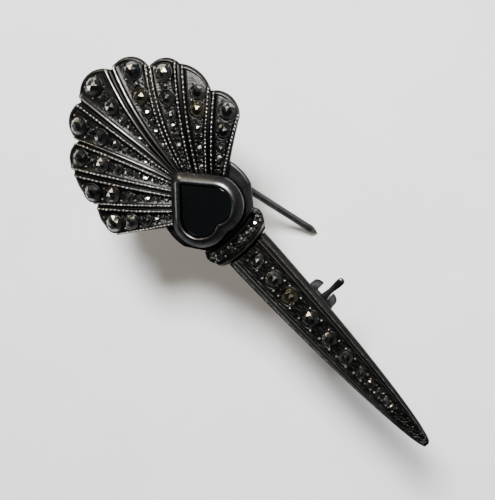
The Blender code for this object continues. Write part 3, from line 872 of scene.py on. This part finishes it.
def make_collar():
    columns, rows = 150, 64
    across, down = np.meshgrid(np.linspace(-1, 1, columns), np.linspace(0, 1, rows))
    x, y = collar_place(across, down)
    end_drop = COLLAR_END_DROP * across**4
    rim = bump(down - 0.89, 0.1)
    upper_edge = bump(down - 0.07, 0.07)
    edge = np.maximum.reduce([1 - smooth_step(down, 0, 0.03), smooth_step(down, 0.975, 1.0),
                              smooth_step(np.abs(across), 0.985, 1.0)])
    scoop = 0.4 * bump(down - 0.22, 0.2) * (1 - smooth_step(np.abs(across), 0.7, 0.9))
    relief = np.maximum(0.5 * rim, 0.12 * upper_edge) - 0.35 * edge - scoop
    chips = hand_cut(x, y, 1.1) * bump(down - 0.52, 0.3)
    z = COLLAR_FIELD_Z + relief - end_drop + 0.1 * chips
    shine = smooth_step(np.abs(across), 0.55, 1.0)
    wear = 0.02 + (0.12 + 0.4 * shine) * rim**3 + 0.05 * upper_edge**2 + 0.1 * np.clip(chips, 0, 1)
    wear = np.clip(wear, 0, 1)
    collar = relief_plate("bow_collar_cast", x, y, z, COLLAR_LOW[2], wear)
    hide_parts("bow_collar")
    prongs = []
    between = [(a + b) / 2 for a, b in zip(COLLAR_STONES_X, COLLAR_STONES_X[1:])]
    first, last = COLLAR_STONES_X[0] - COLLAR_PRONG_REACH, COLLAR_STONES_X[-1] + COLLAR_PRONG_REACH
    for x in (first, *between, last):
        across = x / (COLLAR_TOP_HALF + COLLAR_SWELL)
        height = COLLAR_FIELD_Z - COLLAR_END_DROP * across**4 + 0.05
        for down in (0.36, 0.62):
            _, y = collar_place(across, down)
            prongs.append(upright(x, float(y), height, (0.22, 0.22, 0.3)))
    grips = scattered("collar_bead_prongs", unit_ball(), prongs, SILVER_BEAD, (0.05, 0.45))
    return [collar, grips]


# ---------------- spike

def spike_share(y):
    return (SPIKE_TOP_Y - y) / (SPIKE_TOP_Y - SPIKE_LOW[1])


def spike_half_width(y):
    share = np.clip(spike_share(y), 0, 1)
    return SPIKE_TIP_HALF + (SPIKE_HALF_WIDTH - SPIKE_TIP_HALF) * (1 - share**1.5) ** 0.57


def spike_height_share(y):
    return 1 - (1 - SPIKE_TIP_SHARE) * spike_share(y)


def make_spike():
    columns, rows = 89, 330
    step = np.linspace(0, 1, rows)
    y_rows = SPIKE_TOP_Y + (SPIKE_LOW[1] - SPIKE_TOP_Y) * np.sin(math.pi / 2 * step)
    across, y = np.meshgrid(np.linspace(-1, 1, columns), y_rows)
    half = spike_half_width(y)
    x = across * half
    side = half - np.abs(x)
    strip = (1 - SPIKE_FIELD) * half
    outer_band = smooth_step(side, 0.02, 0.14 * strip + 0.05)
    outer_band = outer_band * (1 - smooth_step(side, 0.44 * strip, 0.56 * strip))
    inner_ridge = bump(side - 0.78 * strip, 0.2 * strip)
    bed = 1 - smooth_step(side, 0.88 * strip, 1.02 * strip)
    relief = 0.16 * bed + 0.3 * outer_band + 0.36 * inner_ridge - 0.2 * (1 - smooth_step(side, 0, 0.08))
    z = (SPIKE_FIELD_Z + relief) * spike_height_share(y)
    chips = hand_cut(x, y) * (1 - bed)
    z += 0.05 * chips
    wear = np.clip(0.02 + 0.03 * outer_band + 0.16 * inner_ridge**4 + 0.08 * np.clip(chips, 0, 1) ** 2, 0, 1)
    # The top end follows the collar's lower edge.
    lift = (collar_foot(x) - 0.07 - SPIKE_TOP_Y) * np.clip(1 - (SPIKE_TOP_Y - y) / 2.0, 0, 1)
    spike = relief_plate("spike_cast", x, y + lift, z, 0.0, wear)
    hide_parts("spike")
    stops = np.linspace(-TONGUE_HALF_WIDTH, TONGUE_HALF_WIDTH, 9)
    x, y = np.meshgrid(stops, (SPIKE_TOP_Y - 0.2, SPIKE_HIGH[1]))
    tongue = relief_plate("spike_tongue", x, y, TONGUE_HEIGHT, 0.0, np.full_like(x, 0.1))
    return [spike, tongue]


def make_spike_beads():
    """Milgrain on the edge strips, the stone seats and the bead prongs of the field."""
    grains, seats, prongs = [], [], []
    y = SPIKE_TOP_Y - 0.3
    while y > SPIKE_LOW[1] + 1.0:
        half = float(spike_half_width(y))
        size = (0.028 * half + 0.045) * wobble(len(grains))
        for side in (-1, 1):
            x = side * half * (1 - 0.32 * (1 - SPIKE_FIELD))
            z = (SPIKE_FIELD_Z + 0.42) * float(spike_height_share(y))
            grains.append(upright(x, y, z, (size, 1.15 * size, size)))
        y -= 2.5 * size
    for number, (y, diameter) in enumerate(SPIKE_STONES):
        z = SPIKE_FIELD_Z * float(spike_height_share(y)) - SPIKE_SINK
        seats.append(upright(0.0, y, z, (diameter,) * 3))
        size = (0.1 + 0.1 * diameter) * wobble(number)
        room = SPIKE_FIELD * float(spike_half_width(y)) - 0.8 * size
        for across in (-1, 1):
            for along in (-1, 1):
                x = across * min(0.43 * diameter + 0.05, room)
                prong_y = y + along * (0.46 * diameter + 0.03)
                prongs.append(upright(x, prong_y, z, (size, size, 1.5 * size)))
    milgrain = scattered("spike_milgrain", unit_ball(), grains, SILVER_BEAD, (0.02, 0.22))
    rings = scattered("spike_stone_seats", seat_ring(), seats, SILVER, (0.02, 0.1))
    grips = scattered("spike_bead_prongs", unit_ball(), prongs, SILVER_BEAD, (0.02, 0.4))
    return [milgrain, rings, grips]


# ---------------- hinge, stem and catch

def soften_edges(obj, width, segments, degrees):
    """Rounds the edges that turn by more than an angle."""
    bevel = obj.modifiers.new("Bevel", "BEVEL")
    bevel.width = width * MM
    bevel.segments = segments
    bevel.limit_method = "ANGLE"
    bevel.angle_limit = math.radians(degrees)


def refined_copy(node, name, material, edge):
    """The CAD node's own shape with softened edges, standing for it."""
    mesh = frame["nodes"][node].data.copy()
    mesh.materials.clear()
    mesh.materials.append(material)
    obj = placed(name, mesh)
    weld = obj.modifiers.new("Weld", "WELD")
    weld.merge_threshold = 0.000002
    soften_edges(obj, edge, 3, 38)
    mesh.shade_smooth()
    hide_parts(node)
    return obj


def combined(base, steps):
    """The base after each Boolean step, with the helper bodies used up and its edges softened."""
    for operation, helper in steps:
        modifier = base.modifiers.new(operation.lower(), "BOOLEAN")
        modifier.operation = operation
        modifier.object = helper
    bpy.context.view_layer.update()
    graph = bpy.context.evaluated_depsgraph_get()
    mesh = bpy.data.meshes.new_from_object(base.evaluated_get(graph))
    base.modifiers.clear()
    base.data = mesh
    for _, helper in steps:
        bpy.data.objects.remove(helper)
    soften_edges(base, CUT_EDGE, 2, 40)
    mesh.shade_smooth()
    sharpen(base, 50)
    return base


def block(size, place, material):
    """A box about a place, measured from the catch's centre."""
    corners = [(x, y, z) for z in (-0.5, 0.5) for y in (-0.5, 0.5) for x in (-0.5, 0.5)]
    faces = [(0, 2, 3, 1), (4, 5, 7, 6), (0, 1, 5, 4), (2, 6, 7, 3), (0, 4, 6, 2), (1, 3, 7, 5)]
    points = np.array(corners) * np.array(size) + np.array(place) + CATCH
    return mesh_object("helper", points, faces, material)


def turned(name, profile, material, sides=72):
    """A body turned about the catch's own axis, from (place along it, radius) points."""
    turns = full_turn(sides)
    rings = [[CATCH + np.array((r * math.sin(t), y, r * math.cos(t))) for t in turns] for y, r in profile]
    return ring_object(name, rings, material)


def bore(radius, material, sides):
    return turned("helper", ((-THROUGH, radius), (THROUGH, radius)), material, sides)


def lever_body():
    """The lever's tongue, a little waisted, with a round end."""
    start = ROTOR_BORE + 0.3
    round_end = LEVER_WIDTH / 2
    turns = full_turn(32)
    section = [np.copysign(np.abs(wave(turns)) ** 0.6, wave(turns)) for wave in (np.cos, np.sin)]
    rings = []
    for share in np.sin(np.linspace(0, math.pi / 2, 22)):
        place = start + (LEVER_LENGTH - start) * share
        past = max(0.0, 1 - (LEVER_LENGTH - place) / round_end)
        full = math.sqrt(max(1 - past**2, 0.004))
        waist = 1 - 0.22 * math.sin(math.pi * min(1.0, share / 0.8)) ** 2
        across = LEVER_WIDTH / 2 * waist * full * section[0]
        thick = LEVER_THICKNESS / 2 * (0.8 + 0.2 * waist) * full**0.6 * section[1]
        rings.append(np.stack([np.full_like(turns, place), across + LEVER_OFFSET_Y, thick], -1) + CATCH)
    return ring_object("helper", rings, ROTOR_SILVER)


def make_catch():
    """Two round ears on a pad, open below, with the turning lock between them."""
    shoulder = []
    end_radius = CATCH_END_RADIUS - 0.3
    for angle in np.linspace(0, math.pi / 2, 9):
        shoulder.append((CATCH_SLOT_HALF + (CATCH_HALF_LENGTH - CATCH_SLOT_HALF) * math.sin(angle),
                         end_radius + (CATCH_RADIUS - end_radius) * abs(math.cos(angle)) ** 0.8))
    profile = [(-y, r) for y, r in reversed(shoulder)] + shoulder
    reach = 2 * CATCH_RADIUS
    gap_size = (2 * reach, 2 * CATCH_SLOT_HALF, 2 * reach)
    pad_size = (CATCH_PAD_WIDTH, 2 * CATCH_HALF_LENGTH, CATCH_PAD_THICKNESS)
    pad_top = -CATCH[2] - SEAT_GAP
    pad_middle = pad_top - CATCH_PAD_THICKNESS / 2
    ears = turned("catch_ears", profile, FINDING_SILVER)
    steps = [("DIFFERENCE", block(gap_size, (0, 0, CATCH_SLOT_Z), FINDING_SILVER)),
             ("UNION", block(pad_size, (0, 0, pad_middle), FINDING_SILVER)),
             ("DIFFERENCE", block((2 * reach, 2 * reach, 2), (0, 0, pad_top + 1), FINDING_SILVER)),
             ("DIFFERENCE", bore(CATCH_BORE, FINDING_SILVER, 48)),
             ("DIFFERENCE", block((CATCH_MOUTH, THROUGH, reach), (0, 0, -reach / 2), FINDING_SILVER))]
    ears = combined(ears, steps)
    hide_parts("catch_housing")

    round_end = [(ROTOR_HALF_LENGTH - ROTOR_EDGE * (1 - math.cos(a)),
                  ROTOR_RADIUS - ROTOR_EDGE * (1 - math.sin(a))) for a in np.linspace(0, math.pi / 2, 5)]
    profile = [(-y, r) for y, r in round_end] + round_end[::-1]
    lock = turned("catch_lock", profile, ROTOR_SILVER)
    steps = [("UNION", lever_body()),
             ("DIFFERENCE", bore(ROTOR_BORE, ROTOR_SILVER, 36)),
             ("DIFFERENCE", block((ROTOR_SLOT, THROUGH, reach), (0, 0, -reach / 2), ROTOR_SILVER))]
    lock = combined(lock, steps)
    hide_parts("catch_rotor")
    return ears, lock


def make_stem():
    """Wire, ground point and eye, along the line from the rivet to the tip."""
    tip = np.array((HINGE[0], STEM_LOW[1], STEM_LOW[2]))
    along = tip - HINGE
    length = np.linalg.norm(along)
    along = along / length
    side = np.array((1.0, 0.0, 0.0))
    up = np.cross(side, along)
    turns = full_turn(28)
    profile = [(EYE_RADIUS - 0.25, STEM_RADIUS * 0.9), (EYE_RADIUS + 0.2, STEM_RADIUS)]
    profile += [(t, STEM_RADIUS) for t in np.linspace(EYE_RADIUS + 1.0, length - STEM_POINT_LENGTH, 24)]
    for t in np.linspace(1 / 8, 1, 8):
        profile.append((length - STEM_POINT_LENGTH * (1 - t) - 0.03, STEM_RADIUS * (1 - t**1.6) + 0.06))
    rings = [[HINGE + along * d + r * (side * math.cos(a) + up * math.sin(a)) for a in turns]
             for d, r in profile]
    wire = ring_object("pin_stem_wire", rings, STEM_METAL)
    sharpen(wire, 40)
    half = EYE_WIDTH / 2
    hole = RIVET_RADIUS + RIVET_GAP
    eye_turns = full_turn(48)
    loop = [(hole, -half + EYE_EDGE), (hole, half - EYE_EDGE), (hole + EYE_EDGE, half),
            (EYE_RADIUS - 0.12, half), (EYE_RADIUS - 0.03, half - 0.05), (EYE_RADIUS, half - 0.15)]
    loop += [(r, -x) for r, x in loop[:-5:-1]] + [(hole + EYE_EDGE, -half)]
    points = [HINGE + side * x + r * (along * math.cos(a) + up * math.sin(a))
              for r, x in loop for a in eye_turns]
    faces = tube_faces(len(loop), len(eye_turns), closed=True)
    eye = mesh_object("pin_stem_eye", points, faces, STEM_METAL)
    outward(eye)
    sharpen(eye, 40)
    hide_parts("pin_stem")
    for piece in (wire, eye):
        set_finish(piece, "stem_metal")
        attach(piece, "stem")


# ---------------- stage

VIEW_ROLL = math.radians(19.5)   # the camera stands this far to the +X side of the face's normal
VIEW_TILT = math.radians(-1.0)
VIEW_TURN = math.radians(42.5)   # turn of the picture about the line of sight
VIEW_DISTANCE = 0.184
VIEW_LENS = 86.9
VIEW_TARGET = Vector((-0.00035, -0.0092, 0.0))
LIGHT_TARGET = Vector((0.0, -0.01, 0.0))
FLOOR_DROP = 0.4  # floor below the stem's point, in millimetres
FLOOR_HALF = 1500.0  # half width of the floor, in millimetres
LIGHTS = (  # name, place, size, power, colour
    ("key", (0.25, 0.19, 0.5), (0.12, 0.12), 11.0, (1.0, 1.0, 1.0)),
    ("rim", (-0.35, 0.3, 0.2), (0.2, 0.1), 0.5, (1.0, 1.0, 1.0)),
    ("warm_side", (0.1, 0.45, 0.2), (0.1, 0.1), 1.0, (1.0, 0.8, 0.55)),
)
ROOM_COLOUR = (0.93, 0.96, 1.0, 1.0)
ROOM_FADE = (0.2, 0.75)  # the room darkens between these heights of the line of sight
ROOM_LIGHT = (0.22, 0.02)  # its strength below and above them


def make_camera():
    camera = placed("camera", bpy.data.cameras.new("camera"))
    face_right = Vector((math.cos(VIEW_ROLL), 0.0, -math.sin(VIEW_ROLL)))
    toward = Vector((math.sin(VIEW_ROLL) * math.cos(VIEW_TILT), math.sin(VIEW_TILT),
                     math.cos(VIEW_ROLL) * math.cos(VIEW_TILT)))
    face_up = toward.cross(face_right)
    right = face_right * math.cos(VIEW_TURN) - face_up * math.sin(VIEW_TURN)
    up = face_right * math.sin(VIEW_TURN) + face_up * math.cos(VIEW_TURN)
    turn = Matrix((right, up, toward)).transposed().to_4x4()
    camera.matrix_world = Matrix.Translation(VIEW_TARGET + toward * VIEW_DISTANCE) @ turn
    camera.data.lens = VIEW_LENS
    camera.data.clip_start = 0.005
    camera.data.clip_end = 20.0
    bpy.context.scene.camera = camera


def area_light(name, place, size, power, colour):
    light = bpy.data.lights.new(name, "AREA")
    light.shape = "RECTANGLE"
    light.size, light.size_y = size
    light.energy = power
    light.color = colour
    obj = placed(name, light)
    obj.location = place
    obj.rotation_euler = (LIGHT_TARGET - Vector(place)).to_track_quat("-Z", "Y").to_euler()


def studio_world():
    """A room that is light at the horizon and dark overhead, where the camera stands."""
    world = bpy.data.worlds.new("studio")
    world.use_nodes = True
    tree = world.node_tree
    direction = tree.nodes.new("ShaderNodeTexCoord")
    parts = tree.nodes.new("ShaderNodeSeparateXYZ")
    fade = tree.nodes.new("ShaderNodeMapRange")
    fill(fade, From_Min=ROOM_FADE[0], From_Max=ROOM_FADE[1], To_Min=ROOM_LIGHT[0], To_Max=ROOM_LIGHT[1])
    tree.links.new(direction.outputs["Generated"], parts.inputs["Vector"])
    tree.links.new(parts.outputs["Z"], fade.inputs["Value"])
    background = tree.nodes["Background"]
    fill(background, Color=ROOM_COLOUR)
    tree.links.new(fade.outputs["Result"], background.inputs["Strength"])
    return world


def make_stage():
    height = STEM_LOW[2] - FLOOR_DROP
    corners = [(x * FLOOR_HALF, y * FLOOR_HALF, height) for x, y in ((-1, -1), (1, -1), (1, 1), (-1, 1))]
    floor = mesh_object("floor", corners, [(0, 1, 2, 3)], floor_material())
    for light in LIGHTS:
        area_light(*light)
    bpy.context.scene.world = studio_world()


# ---------------- the materials used

SILVER = worn_silver("oxidised_silver", (0.01, 0.01, 0.0096), (0.34, 0.335, 0.318), 0.38, 0.24, 0.4)
SILVER_BEAD = worn_silver("oxidised_silver_beads", (0.012, 0.012, 0.0115), (0.36, 0.355, 0.335),
                          0.34, 0.2, 0.4)
BEZEL_SILVER = worn_silver("bezel_silver", (0.025, 0.025, 0.025), (0.2, 0.2, 0.198), 0.32, 0.2, 0.2)
SMOOTH_DARK = smooth_silver("plate_silver", (0.055, 0.055, 0.057), 0.26, 0.38)
STEM_METAL = smooth_silver("stem_metal", (0.08, 0.08, 0.078), 0.2, 0.34)
FINDING_SILVER = smooth_silver("finding_silver", (0.06, 0.06, 0.061), 0.24, 0.38)
ROTOR_SILVER = smooth_silver("rotor_silver", (0.14, 0.14, 0.142), 0.2, 0.32)
MARCASITE = marcasite_material("marcasite_grey", (0.11, 0.113, 0.11), (0.25, 0.247, 0.225))
# A brighter, warmer copy of the grey marcasite, for three stones: a painted golden glint.
PAINTED_GLINT_MARCASITE = marcasite_material("marcasite_painted_glint", (0.17, 0.155, 0.11), (0.3, 0.27, 0.18))
ONYX = onyx_material()


def build():
    """All the pieces, each with its body and material slot, and the stage round them."""
    make_camera()
    make_stage()
    pieces = [make_fan(), make_rail_beads(), *make_petal_stones(), make_plate(), make_bezel(), make_onyx()]
    pieces += [*make_collar(), *make_spike(), *make_spike_beads()]
    pieces.append(refined_copy("hinge_bracket", "hinge_bracket_soft", FINDING_SILVER, BRACKET_EDGE))
    ears, lock = make_catch()
    pieces.append(ears)
    pieces.append(refined_copy("hinge_rivet", "hinge_rivet_soft", STEM_METAL, RIVET_EDGE))
    for piece in pieces:
        if "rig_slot" not in piece:
            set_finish(piece, "oxidised_silver")
        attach(piece, "brooch")
    make_stem()
    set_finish(lock, "polished_silver")
    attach(lock, "rotor")
    for name, node in frame["nodes"].items():
        if "marcasite" in name:
            node.data.materials.clear()
            node.data.materials.append(PAINTED_GLINT_MARCASITE if name in PAINTED_GLINT_STONES else MARCASITE)


build()
